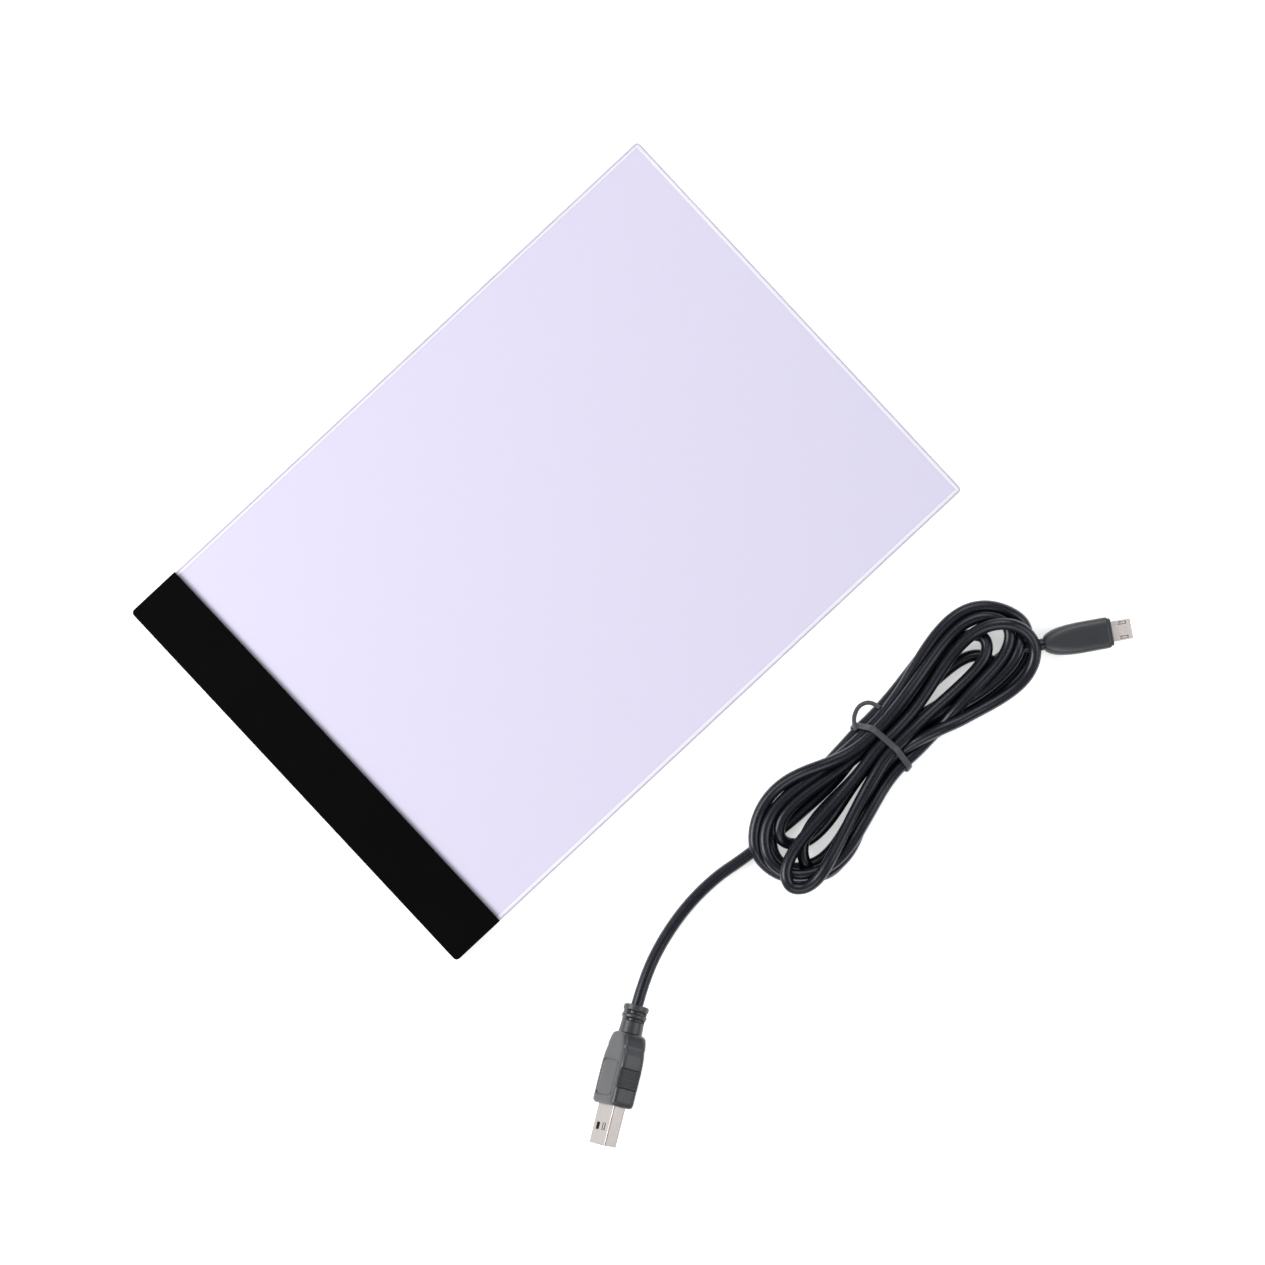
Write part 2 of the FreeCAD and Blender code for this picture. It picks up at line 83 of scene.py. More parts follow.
camera_data = bpy.data.cameras.new("overhead_camera")
camera_data.lens = lens_length
camera_data.sensor_width = sensor_width
camera_data.clip_start = 0.02
camera = add_object("overhead_camera", camera_data)
camera.location = view_centre + Vector((0, 0, view_height))
camera.rotation_euler = (0, 0, view_turn)
bpy.context.scene.camera = camera
view_right = Vector((math.cos(view_turn), math.sin(view_turn), 0))
view_up = Vector((-math.sin(view_turn), math.cos(view_turn), 0))
print("camera height", round(view_height, 3))

# %% [markdown]
# ## Desk and studio light
# A product table is often a translucent sheet that glows a little, so that no shadow stays under the
# object. The desk here glows in the same way, under large soft lamps. The strongest lamp stands low at the
# viewer's left, so the left faces of the plugs and the left flanks of the cord catch it. The sky is dim,
# because the black strip faces straight up and would mirror a bright one.

# %% Desk, sky and lamps
desk_half = 3.0
desk_albedo = 0.93
desk_glow = 0.5
sky_colour = (0.88, 0.92, 1.0, 1)
sky_strength = 0.22


def soft_lamp(name, sideways, height, size, power):
    """A square soft lamp beside the view's middle, turned to face it."""
    place = view_centre + sideways + Vector((0, 0, height))
    data = bpy.data.lights.new(name, "AREA")
    data.size = size
    data.energy = power
    lamp = add_object(name, data)
    lamp.location = place
    lamp.rotation_euler = (view_centre - place).to_track_quat("-Z", "Y").to_euler()


desk_mesh = bpy.data.meshes.new("desk")
desk_corners = [(-desk_half, -desk_half, 0), (desk_half, -desk_half, 0),
                (desk_half, desk_half, 0), (-desk_half, desk_half, 0)]
desk_mesh.from_pydata(desk_corners, [], [(0, 1, 2, 3)])
desk = add_object("desk", desk_mesh)
desk_paint = bpy.data.materials.new("desk_paint")
desk_paint.use_nodes = True
desk_shader = desk_paint.node_tree.nodes["Principled BSDF"]
desk_shader.inputs["Base Color"].default_value = (desk_albedo, desk_albedo, desk_albedo, 1)
desk_shader.inputs["Roughness"].default_value = 0.9
desk_shader.inputs["Specular IOR Level"].default_value = 0.1
desk_shader.inputs["Emission Color"].default_value = (1, 1, 1, 1)
desk_shader.inputs["Emission Strength"].default_value = desk_glow
desk_mesh.materials.append(desk_paint)

sky = bpy.data.worlds.new("studio_sky")
sky.use_nodes = True
sky.node_tree.nodes["Background"].inputs["Color"].default_value = sky_colour
sky.node_tree.nodes["Background"].inputs["Strength"].default_value = sky_strength
bpy.context.scene.world = sky

# each lamp: where it stands in metres, its height and size in metres, its power in watts
soft_lamp("key_softbox", view_right * -0.85, 0.62, 0.7, 11.2)
soft_lamp("fill_softbox", view_right * 0.95, 0.80, 0.8, 4.5)
soft_lamp("far_softbox", view_up * 0.90, 0.90, 0.8, 5.3)
soft_lamp("near_softbox", view_up * -0.90, 0.90, 0.8, 4.7)
bpy.context.scene.view_settings.view_transform = "Standard"

# %% [markdown]
# ## Helpers for finishes
# A moulded or rolled surface is never one flat colour. Each finish here starts from the shader's own
# sockets and then adds a little grain: noise that lightens and darkens the colour, changes how rough the
# surface is, and tilts it by a few microns. All of it reads Object coordinates, in metres.

# %% Finish helpers
noise_low, noise_high = 0.3, 0.7  # nearly all of a noise texture lies between these
finishes = {}


def wire(tree, source, output, target, into):
    """Join one node's output socket to another node's input socket."""
    tree.links.new(source.outputs[output], target.inputs[into])


def shader_of(material):
    """The node that a material starts with."""
    return material.node_tree.nodes["Principled BSDF"]


def set_inputs(node, values):
    """Give a node's input sockets their own values."""
    for label, value in values.items():
        node.inputs[label].default_value = value


def new_finish(name, colour, roughness, metallic=0.0, specular=0.5):
    """A material with its even values set on the shader itself, kept in the list of finishes."""
    material = finishes[name] = bpy.data.materials.new(name)
    material.use_nodes = True
    set_inputs(shader_of(material), {"Base Color": (*colour, 1), "Roughness": roughness,
                                     "Metallic": metallic, "Specular IOR Level": specular})
    return material


def noise(material, size, detail=3.0, stretch=(1, 1, 1)):
    """Noise whose blotches are about that size in metres."""
    tree = material.node_tree
    place = tree.nodes.new("ShaderNodeTexCoord")
    scale = tree.nodes.new("ShaderNodeMapping")
    set_inputs(scale, {"Scale": stretch})
    texture = tree.nodes.new("ShaderNodeTexNoise")
    set_inputs(texture, {"Scale": 1 / size, "Detail": detail})
    wire(tree, place, "Object", scale, "Vector")
    wire(tree, scale, "Vector", texture, "Vector")
    return texture.outputs["Fac"]


def tint(material, pattern, dark, light, low=0.35, high=0.65):
    """Colour that runs from dark to light with a pattern."""
    tree = material.node_tree
    ramp = tree.nodes.new("ShaderNodeValToRGB")
    ramp.color_ramp.elements[0].position = low
    ramp.color_ramp.elements[0].color = (*dark, 1)
    ramp.color_ramp.elements[1].position = high
    ramp.color_ramp.elements[1].color = (*light, 1)
    tree.links.new(pattern, ramp.inputs["Fac"])
    wire(tree, ramp, "Color", shader_of(material), "Base Color")
    return ramp


def roughen(material, pattern, low, high):
    """Roughness that runs between two values with a pattern."""
    tree = material.node_tree
    spread = tree.nodes.new("ShaderNodeMapRange")
    set_inputs(spread, {"From Min": noise_low, "From Max": noise_high, "To Min": low, "To Max": high})
    tree.links.new(pattern, spread.inputs["Value"])
    wire(tree, spread, "Result", shader_of(material), "Roughness")


def relief(material, pattern, depth, strength=1.0):
    """Bumps of about that depth in metres."""
    tree = material.node_tree
    bump = tree.nodes.new("ShaderNodeBump")
    set_inputs(bump, {"Distance": depth, "Strength": strength})
    tree.links.new(pattern, bump.inputs["Height"])
    wire(tree, bump, "Normal", shader_of(material), "Normal")


def shade(colour, amount):
    """The colour, lighter or darker by a share."""
    return tuple(min(1.0, channel * (1 + amount)) for channel in colour)


def moulded(name, colour, roughness, grain, depth, change, specular):
    """A moulded plastic or rubber finish with a fine even grain."""
    material = new_finish(name, colour, roughness, specular=specular)
    fine = noise(material, grain)
    broad = noise(material, 14 * mm, 2.0)
    tint(material, broad, shade(colour, -change), shade(colour, change))
    roughen(material, fine, roughness - 0.06, roughness + 0.06)
    relief(material, fine, depth)
    return material


def rolled(name, colour, roughness, stretch=(1, 14, 14), change=0.1):
    """A rolled or plated metal finish with faint drawn lines."""
    material = new_finish(name, colour, roughness, metallic=1.0)
    lines = noise(material, 1.2 * mm, 5.0, stretch)
    tint(material, lines, shade(colour, -change), shade(colour, change))
    roughen(material, lines, roughness - 0.07, roughness + 0.1)
    relief(material, lines, 0.004 * mm)
    return material


# %% [markdown]
# ## The finishes of this light box
# The strip is smooth near-black plastic, the cord a PVC jacket with a soft sheen, the grips a matt PVC
# moulding, and the shells pressed steel under nickel. The parts inside are ordinary electronics colours.

# %% Opaque finishes
# each plastic: colour, roughness, grain size and depth in millimetres, change of tone, specular level
plastics = {
    "strip_black": ((0.0014, 0.0014, 0.0016), 0.34, 0.35, 0.0015, 0.1, 0.07),
    "cord_jacket": ((0.004, 0.004, 0.006), 0.31, 0.5, 0.004, 0.15, 0.5),
    "grip_black": ((0.024, 0.025, 0.029), 0.38, 0.22, 0.008, 0.12, 0.65),
    "tie_black": ((0.045, 0.048, 0.052), 0.42, 0.3, 0.006, 0.1, 0.5),
    "foot_rubber": ((0.055, 0.055, 0.06), 0.75, 0.3, 0.02, 0.15, 0.3),
    "back_plastic": ((0.74, 0.74, 0.77), 0.55, 0.45, 0.02, 0.02, 0.5),
    "reflector_film": ((0.90, 0.90, 0.91), 0.4, 0.6, 0.004, 0.02, 0.5),
    "tape_black": ((0.02, 0.02, 0.021), 0.5, 0.3, 0.006, 0.12, 0.5),
    "insert_black": ((0.018, 0.018, 0.02), 0.4, 0.3, 0.004, 0.12, 0.5),
    "insert_white": ((0.78, 0.77, 0.73), 0.42, 0.3, 0.004, 0.03, 0.5),
    "board_green": ((0.015, 0.14, 0.055), 0.35, 0.8, 0.01, 0.2, 0.5),
    "board_white": ((0.82, 0.82, 0.79), 0.4, 0.8, 0.008, 0.04, 0.5),
    "chip_black": ((0.022, 0.022, 0.024), 0.55, 0.2, 0.012, 0.12, 0.5),
    "chip_tan": ((0.42, 0.31, 0.20), 0.5, 0.2, 0.01, 0.12, 0.5),
    "led_cream": ((0.88, 0.80, 0.38), 0.3, 0.3, 0.004, 0.05, 0.5),
    "wire_red": ((0.50, 0.02, 0.015), 0.4, 0.25, 0.006, 0.12, 0.5),
    "wire_black": ((0.02, 0.02, 0.02), 0.4, 0.25, 0.006, 0.12, 0.5),
    "wire_yellow": ((0.70, 0.50, 0.05), 0.4, 0.25, 0.006, 0.12, 0.5),
}
# each metal: colour, roughness
metals = {
    "plug_nickel": ((0.38, 0.35, 0.335), 0.30),
    "micro_nickel": ((0.82, 0.75, 0.71), 0.48),
    "screw_steel": ((0.60, 0.60, 0.61), 0.33),
    "contact_gold": ((0.86, 0.66, 0.30), 0.28),
    "copper_foil": ((0.80, 0.42, 0.27), 0.35),
}
for name, (colour, roughness, grain, depth, change, specular) in plastics.items():
    moulded(name, colour, roughness, grain * mm, depth * mm, change, specular)
for name, (colour, roughness) in metals.items():
    rolled(name, colour, roughness)
cord_jacket, grip_black, tie_black = (finishes[name] for name in ("cord_jacket", "grip_black", "tie_black"))
set_inputs(shader_of(cord_jacket), {"Specular Tint": (0.84, 0.88, 1.0, 1)})  # a slightly blue sheen
print("opaque finishes ready")

# %% [markdown]
# ## The light panel's finishes
# The lilac look comes from the diffuser film: a milky sheet with a very fine dot grain, seen through a
# clear satin sheet. Round its edge runs a paler line, where milky adhesive film holds the sheets. The dots
# are a Voronoi pattern with almost no randomness, so they stand in rows as printed dots do. Beside the
# strip the film's colour is painted darker: painted shade for the strip's lip.

# %% Panel finishes
def dot_grain(material, pitch):
    """Rows of tiny soft dots."""
    tree = material.node_tree
    place = tree.nodes.new("ShaderNodeTexCoord")
    dots = tree.nodes.new("ShaderNodeTexVoronoi")
    set_inputs(dots, {"Scale": 1 / pitch, "Randomness": 0.25})
    wire(tree, place, "Object", dots, "Vector")
    return dots.outputs["Distance"]


def painted_shade_along_y(material, colour, start, reach, darkest):
    """Painted shade: darken the colour from a line across Y, back to full strength after a short reach."""
    tree = material.node_tree
    place = tree.nodes.new("ShaderNodeTexCoord")
    split = tree.nodes.new("ShaderNodeSeparateXYZ")
    ramp = tree.nodes.new("ShaderNodeMapRange")
    ramp.interpolation_type = "SMOOTHSTEP"
    set_inputs(ramp, {"From Min": start, "From Max": start + reach, "To Min": darkest, "To Max": 1.0})
    darken = tree.nodes.new("ShaderNodeVectorMath")
    darken.operation = "SCALE"
    wire(tree, place, "Object", split, "Vector")
    wire(tree, split, "Y", ramp, "Value")
    tree.links.new(colour, darken.inputs[0])
    wire(tree, ramp, "Result", darken, "Scale")
    wire(tree, darken, "Vector", shader_of(material), "Base Color")


lilac = (0.618, 0.582, 0.720)
strip_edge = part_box("strip_top_cover")[1].y
dot_pitch = 0.8 * mm
lip_shadow_reach = 2.0 * mm
lip_shadow_tone = 0.5
sheet_alpha = 0.06
acrylic_alpha = 0.7
diffuser_film = new_finish("diffuser_film", lilac, 0.55, specular=0.3)
diffuser_dots = dot_grain(diffuser_film, dot_pitch)
diffuser_tint = tint(diffuser_film, diffuser_dots, shade(lilac, 0.02), shade(lilac, -0.03), 0.1, 0.7)
# painted shade: the film's colour darkens towards the strip's lip, standing in for the lip's shadow
painted_shade_along_y(diffuser_film, diffuser_tint.outputs["Color"], strip_edge, lip_shadow_reach, lip_shadow_tone)
relief(diffuser_film, diffuser_dots, 0.01 * mm, 0.5)

bond_film = moulded("bond_film", (0.78, 0.75, 0.83), 0.6, 0.4 * mm, 0.006 * mm, 0.02, 0.3)

clear_sheet = new_finish("clear_sheet", (0.90, 0.89, 0.97), 0.22, specular=0.35)
set_inputs(shader_of(clear_sheet), {"Alpha": sheet_alpha})
sheet_grain = noise(clear_sheet, 0.5 * mm)
roughen(clear_sheet, sheet_grain, 0.18, 0.28)
relief(clear_sheet, sheet_grain, 0.002 * mm)

clear_acrylic = new_finish("clear_acrylic", (0.90, 0.89, 0.93), 0.12, specular=0.5)
set_inputs(shader_of(clear_acrylic), {"Alpha": acrylic_alpha})
acrylic_haze = noise(clear_acrylic, 3 * mm)
roughen(clear_acrylic, acrylic_haze, 0.08, 0.16)
print("panel finishes ready")

# %% [markdown]
# ## The cord's loose stretch
# The lead leaves the USB-A plug a little above the desk, sinks on to it and runs in one slow bend to the
# hank. The points below are the same ones that the engineering model uses for its tube. As the control
# points of a smooth NURBS line they give one flowing curve and not straight runs with bends between them.

# %% Points of the loose stretch
cord_diameter = 4.1 * mm
cord_radius = cord_diameter / 2
tail_points = [(132.0, -81.7, 6.75), (126.7, -73.0, 5.4), (121.9, -60.3, 3.3), (119.1, -46.4, 2.35),
               (118.8, -33.2, 2.15), (120.4, -23.4, 2.1), (121.3, -15.0, 2.1)]
under_loops = [(121.8, -6.0, 2.1), (122.6, 6.0, 2.1), (122.6, 19.0, 2.2)]
to_plug = [(126.0, 52.0, 2.4), (129.2, 64.0, 2.2), (130.6, 76.0, 2.1), (130.2, 85.5, 2.2)]
end_points = [(130.4, 90.9, 2.4), (133.5, 95.8, 3.1), (137.24, 101.64, 3.6)]
print("points of the loose stretch:", len(tail_points) + len(end_points))

# %% [markdown]
# ## The hank's turns
# A hank is wound round a hand: every turn is a long loop to one side of the tie and a long loop to the
# other. A loop pinched at one end is a teardrop, so a teardrop is the rule here: each flank opens from the
# tie in an S-curve and closes round the apex in a quarter of an ellipse. Each turn has its own apex and its
# own reach to the left and right, because loose turns fan out. At the tie the thirteen strands are packed
# in three layers, each strand in the gap between two below it.

# %% Strand places at the tie
waist = Vector((124.4, 36.6, 0.0))
waist_turn = math.radians(6.2)
slot_pitch = cord_diameter / mm
first_slot = {"low": -9.2, "middle": -7.15, "high": -5.1}
slot_height = {"low": 2.85, "middle": 6.35, "high": 9.85}


def waist_slot(layer, place):
    """Where a strand passes the tie: a layer, and a place counted from the left."""
    across = first_slot[layer] + slot_pitch * place
    x = waist.x + across * math.cos(waist_turn)
    y = waist.y + across * math.sin(waist_turn)
    return np.array((x, y, slot_height[layer]))


print("the middle strand of the low layer:", waist_slot("low", 2).round(1))


# %% One teardrop loop
end_roundness = 1.25
opening_delay = 1.25
first_rise = 0.04  # share of the way to the widest place, so that no point doubles the tie's
level_pace = 2.2  # above 1, a strand reaches its own level before it reaches the apex


def flank(slot, apex, reach_x, level, widest, steps=24):
    """Half of a loop: from the tie, out to its widest place, and round to the apex."""
    middle = np.array((waist.x, waist.y))
    axis = np.array(apex) - middle
    square = np.array((1.0, -axis[0] / axis[1]))
    at_tie = slot[:2] - middle
    spread = (reach_x - (middle[0] + axis[0] * widest)) * square
    rise = np.linspace(first_rise, 1, steps)[:, None]
    opening = (rise * rise * (3 - 2 * rise)) ** opening_delay
    straight = axis * widest * rise + at_tie * (1 - opening) + spread * opening
    angle = np.linspace(0, math.pi / 2, steps)[1:, None]
    height = widest + (1 - widest) * np.sin(angle)
    round_end = axis * height + spread * np.cos(angle)
    flat = np.concatenate((straight, round_end)) + middle
    share = np.linspace(0, 1, len(flat))
    z = slot[2] + (level - slot[2]) * np.minimum(1, share * level_pace)
    return np.column_stack((flat, z))


def loop(start, finish, apex, left_x, right_x, left_level, right_level):
    """A whole loop; a narrow one is widest nearer its apex, so that its end stays round."""
    length = math.hypot(apex[0] - waist.x, apex[1] - waist.y)
    widest = 1 - end_roundness * (right_x - left_x) / 2 / length
    left = flank(start, apex, left_x, left_level, widest)
    right = flank(finish, apex, right_x, right_level, widest)
    return np.concatenate((left, right[::-1][1:]))


# %% Six turns, one after the other
# each turn: the slot going up, its upper loop, the slot coming down, its lower loop
# a loop is (apex, leftmost x, rightmost x, height of its left flank, height of its right flank)
turns = [
    (("low", 1), ((128.6, 85.0), 121.1, 134.1, 2.1, 5),
     ("middle", 2), ((124.5, -9.6), 118.0, 131.8, 5, 2.1)),
    (("middle", 1), ((121.4, 88.6), 115.4, 127.4, 4, 8),
     ("high", 2), ((138.4, -18.0), 130.4, 142.7, 9, 12)),
    (("high", 1), ((132.0, 100.0), 117.2, 141.2, 9, 10),
     ("middle", 3), ((126.4, -18.8), 110.3, 143.8, 5, 6)),
    (("high", 0), ((124.0, 97.4), 112.2, 131.2, 8, 6.5),
     ("middle", 4), ((128.4, -17.4), 114.8, 142.6, 7, 7)),
    (("middle", 0), ((128.0, 100.6), 108.8, 137.6, 5, 7),
     ("low", 4), ((130.6, -15.4), 118.2, 139.4, 5, 4)),
    (("low", 0), ((126.0, 98.6), 110.2, 134.6, 2, 6),
     ("low", 3), ((141.4, -8.6), 128.8, 143.8, 8, 2.5)),
]
plug_slot = ("low", 2)

rough_route = [np.array(under_loops)]
for index, (up_slot, upper, down_slot, lower) in enumerate(turns):
    up_place, down_place = waist_slot(*up_slot), waist_slot(*down_slot)
    next_up = waist_slot(*(turns[index + 1][0] if index + 1 < len(turns) else plug_slot))
    rough_route.append(up_place[None])
    rough_route.append(loop(up_place, down_place, *upper))
    rough_route.append(down_place[None])
    rough_route.append(loop(next_up, down_place, *lower)[::-1])
rough_route.append(waist_slot(*plug_slot)[None])
rough_route.append(np.array(to_plug))
rough_route = np.concatenate(rough_route)
print("turns in the hank:", len(turns), "rough points:", len(rough_route))

# %% [markdown]
# ## Letting the turns settle on each other
# Drawn by rule, the strands still pass through one another. Real cord can't, so the points are spaced
# evenly and then pushed: two points nearer than one diameter move apart, gravity pulls every point down,
# the desk stops them, and a little stiffness keeps each strand smooth. The small simulation gives the same
# hank each run, because nothing in it is random.

# %% Spacing and settling
desk_gap = 0.03  # mm of air under the lowest strand
tie_hold_length = 6.0  # mm either side of the tie where its grip fades
loose_hold, tie_hold = 0.07, 0.5  # pull of a strand's drawn place, away from and at the tie
tie_hold_upright = 0.4
neighbours = 3  # points this near along the cord don't push each other
joined_points = 5  # points at either end that flow into the fixed stretches
push_share, longest_push = 0.45, 0.7
gravity = 0.12
lean = np.array((0.40, 0.40, 1.0))  # strands give way upwards more than sideways
stiffness = np.array((0.10, 0.10, 0.22))


def evenly(points, step):
    """The same path with points at even steps."""
    points = np.asarray(points, float)
    lengths = np.concatenate(([0], np.cumsum(np.linalg.norm(np.diff(points, axis=0), axis=1))))
    count = int(round(lengths[-1] / step))
    wanted = np.linspace(0, lengths[-1], count + 1)
    return np.column_stack([np.interp(wanted, lengths, points[:, axis]) for axis in range(3)])


def settle(points, fixed, rounds=500):
    """Push strands apart and down until they rest on each other and on the fixed stretches."""
    spacing = cord_diameter / mm
    desk_height = cord_radius / mm + desk_gap
    home = points.copy()
    near_waist = np.exp(-(((points[:, 1] - waist.y) / tie_hold_length) ** 2))
    hold = loose_hold + tie_hold * near_waist
    rows = np.arange(len(points))
    apart = np.abs(rows[:, None] - rows[None]) > neighbours
    apart = np.concatenate((apart, np.ones((len(points), len(fixed)), bool)), axis=1)
    apart[:joined_points, len(points):] = False
    apart[-joined_points:, len(points):] = False
    for turn in range(rounds):
        gap = points[:, None] - np.concatenate((points, fixed))[None]
        distance = np.linalg.norm(gap, axis=2) + 1e-9
        push = np.where(apart & (distance < spacing), (spacing - distance) / distance * push_share, 0.0)
        move = (gap * push[..., None]).sum(1) * lean
        points = points + np.clip(move, -longest_push, longest_push)
        points[:, 2] -= gravity * (1 - turn / rounds) * (1 - near_waist)
        centre = (points[:-2] + points[2:]) / 2
        points[1:-1] += (centre - points[1:-1]) * stiffness
        points[:, :2] += (home[:, :2] - points[:, :2]) * hold[:, None]
        points[:, 2] += (home[:, 2] - points[:, 2]) * (tie_hold_upright * near_waist)
        points[:, 2] = np.maximum(points[:, 2], desk_height)
    return points


point_step = 4.4
fixed_step = 2.0
last_of_tail = 20  # only this many of the loose stretch's points lie near the hank
fixed_stretches = np.concatenate((evenly(tail_points, fixed_step)[-last_of_tail:],
                                  evenly(end_points, fixed_step)))
hank_points = settle(evenly(rough_route, point_step), fixed_stretches)
cord_points = [tuple(p) for p in tail_points] + [tuple(p) for p in hank_points[1:-1]] + end_points
print("cord points:", len(cord_points), "tallest", round(float(hank_points[:, 2].max()), 1), "mm")

# %% [markdown]
# ## The cord itself
# The settled points become one curve, from the large plug's grip to the small plug's. A curve with a round
# bevel keeps its thickness through every bend, which a swept mesh has to be taught. The same curve without
# its bevel later tells the twist tie where the strands are.

# %% The cord as one NURBS line
def nurbs_curve(name, points):
    """A smooth curve drawn by control points in millimetres, which starts and ends at the outer two."""
    curve = bpy.data.curves.new(name, "CURVE")
    curve.dimensions = "3D"
    line = curve.splines.new("NURBS")
    line.points.add(len(points) - 1)
    for point, place in zip(line.points, points):
        point.co = (place[0] * mm, place[1] * mm, place[2] * mm, 1)
    line.order_u = 3
    line.use_endpoint_u = True
    return curve


def line_of(curve):
    """The points that a curve's own line passes, with no thickness."""
    bare = curve.copy()
    bare.bevel_depth = 0
    holder = add_object("bare_line", bare)
    mesh = bpy.data.meshes.new_from_object(holder.evaluated_get(bpy.context.evaluated_depsgraph_get()))
    line = np.array([v.co for v in mesh.vertices])
    bpy.data.objects.remove(holder)
    bpy.data.meshes.remove(mesh)
    return line


cord_curve = nurbs_curve("usb_cord", cord_points)
cord_curve.bevel_depth = cord_radius
cord_curve.bevel_resolution = 5
cord_curve.use_fill_caps = True
cord_curve.splines[0].resolution_u = 5
cord_curve.materials.append(cord_jacket)
usb_cord = add_object("usb_cord", cord_curve)
cord_path = line_of(cord_curve)
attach(usb_cord, "usb_lead")
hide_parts("cord_tail", "cord_hank", "cord_end")

# %% [markdown]
# ## Geometry Nodes trees for what repeats
# The ribs of a plug's grip, the chips of the light source and the feet all repeat one small piece. A tree
# that repeats a hand-made piece needs only the piece, how many, where the first one stands and the step to
# the next. A second tree puts the piece at every point of a mesh, for places that keep no even step, and a
# third sweeps a flat strip along a path. All end in Realize Instances and Set Material, and each result is
# kept as a plain mesh.

# %% Tree helpers
def new_tree(name, **inputs):
    """An empty tree with named inputs, given as name=socket type."""
    tree = bpy.data.node_groups.new(name, "GeometryNodeTree")
    tree.is_modifier = True
    tree.interface.new_socket(name="Geometry", in_out="OUTPUT", socket_type="NodeSocketGeometry")
    tree.interface.new_socket(name="Geometry", in_out="INPUT", socket_type="NodeSocketGeometry")
    for label, kind in inputs.items():
        tree.interface.new_socket(name=label, in_out="INPUT", socket_type="NodeSocket" + kind)
    return tree, tree.nodes.new("NodeGroupInput"), tree.nodes.new("NodeGroupOutput")


def finish_tree(tree, entry, result, end):
    """Realize the instances, set the finish and hand the geometry out."""
    real = tree.nodes.new("GeometryNodeRealizeInstances")
    paint = tree.nodes.new("GeometryNodeSetMaterial")
    tree.links.new(result, real.inputs["Geometry"])
    wire(tree, real, "Geometry", paint, "Geometry")
    wire(tree, entry, "Finish", paint, "Material")
    wire(tree, paint, "Geometry", end, "Geometry")


def grown(name, tree, values, mesh=None):
    """Run a tree once and keep its result as a plain mesh object."""
    holder = add_object(name + "_holder", mesh or bpy.data.meshes.new(name + "_holder"))
    modifier = holder.modifiers.new("tree", "NODES")
    modifier.node_group = tree
    for item in tree.interface.items_tree:
        if item.in_out == "INPUT" and item.name in values:
            modifier[item.identifier] = values[item.name]
    depsgraph = bpy.context.evaluated_depsgraph_get()
    depsgraph.update()
    result = bpy.data.meshes.new_from_object(holder.evaluated_get(depsgraph))
    result.name = name
    bpy.data.objects.remove(holder)
    return add_object(name, result)


def drop(piece):
    """Remove a helper object once its copies are made."""
    mesh = piece.data
    bpy.data.objects.remove(piece)
    bpy.data.meshes.remove(mesh)


# %% A tree that repeats a piece in a row
row_tree, row_in, row_out = new_tree("row_of_pieces", Piece="Object", Count="Int", Start="Vector",
                                     Step="Vector", Finish="Material")
row_line = row_tree.nodes.new("GeometryNodeMeshLine")
row_line.mode = "OFFSET"
row_piece = row_tree.nodes.new("GeometryNodeObjectInfo")
row_copies = row_tree.nodes.new("GeometryNodeInstanceOnPoints")
wire(row_tree, row_in, "Count", row_line, "Count")
wire(row_tree, row_in, "Start", row_line, "Start Location")
wire(row_tree, row_in, "Step", row_line, "Offset")
wire(row_tree, row_in, "Piece", row_piece, "Object")
wire(row_tree, row_line, "Mesh", row_copies, "Points")
wire(row_tree, row_piece, "Geometry", row_copies, "Instance")
finish_tree(row_tree, row_in, row_copies.outputs["Instances"], row_out)
print(row_tree.name, "has", len(row_tree.nodes), "nodes")

# %% A tree that puts a piece at every point of a mesh
place_tree, place_in, place_out = new_tree("piece_at_places", Piece="Object", Finish="Material")
place_piece = place_tree.nodes.new("GeometryNodeObjectInfo")
place_copies = place_tree.nodes.new("GeometryNodeInstanceOnPoints")
wire(place_tree, place_in, "Piece", place_piece, "Object")
wire(place_tree, place_in, "Geometry", place_copies, "Points")
wire(place_tree, place_piece, "Geometry", place_copies, "Instance")
finish_tree(place_tree, place_in, place_copies.outputs["Instances"], place_out)
print(place_tree.name, "has", len(place_tree.nodes), "nodes")

# %% A tree that draws a flat strip along a path
strip_tree, strip_in, strip_out = new_tree("strip_along_path", Width="Float", Thickness="Float",
                                           Corner="Float", Tilt="Float", Finish="Material")
strip_path = strip_tree.nodes.new("GeometryNodeMeshToCurve")
strip_tilt = strip_tree.nodes.new("GeometryNodeSetCurveTilt")
strip_profile = strip_tree.nodes.new("GeometryNodeCurvePrimitiveQuadrilateral")
strip_round = strip_tree.nodes.new("GeometryNodeFilletCurve")
strip_round.mode = "POLY"
strip_round.inputs["Count"].default_value = 3
strip_sweep = strip_tree.nodes.new("GeometryNodeCurveToMesh")
strip_sweep.inputs["Fill Caps"].default_value = True
wire(strip_tree, strip_in, "Geometry", strip_path, "Mesh")
wire(strip_tree, strip_path, "Curve", strip_tilt, "Curve")
wire(strip_tree, strip_in, "Tilt", strip_tilt, "Tilt")
wire(strip_tree, strip_in, "Width", strip_profile, "Width")
wire(strip_tree, strip_in, "Thickness", strip_profile, "Height")
wire(strip_tree, strip_profile, "Curve", strip_round, "Curve")
wire(strip_tree, strip_in, "Corner", strip_round, "Radius")
wire(strip_tree, strip_tilt, "Curve", strip_sweep, "Curve")
wire(strip_tree, strip_round, "Curve", strip_sweep, "Profile Curve")
finish_tree(strip_tree, strip_in, strip_sweep.outputs["Mesh"], strip_out)
print(strip_tree.name, "has", len(strip_tree.nodes), "nodes")

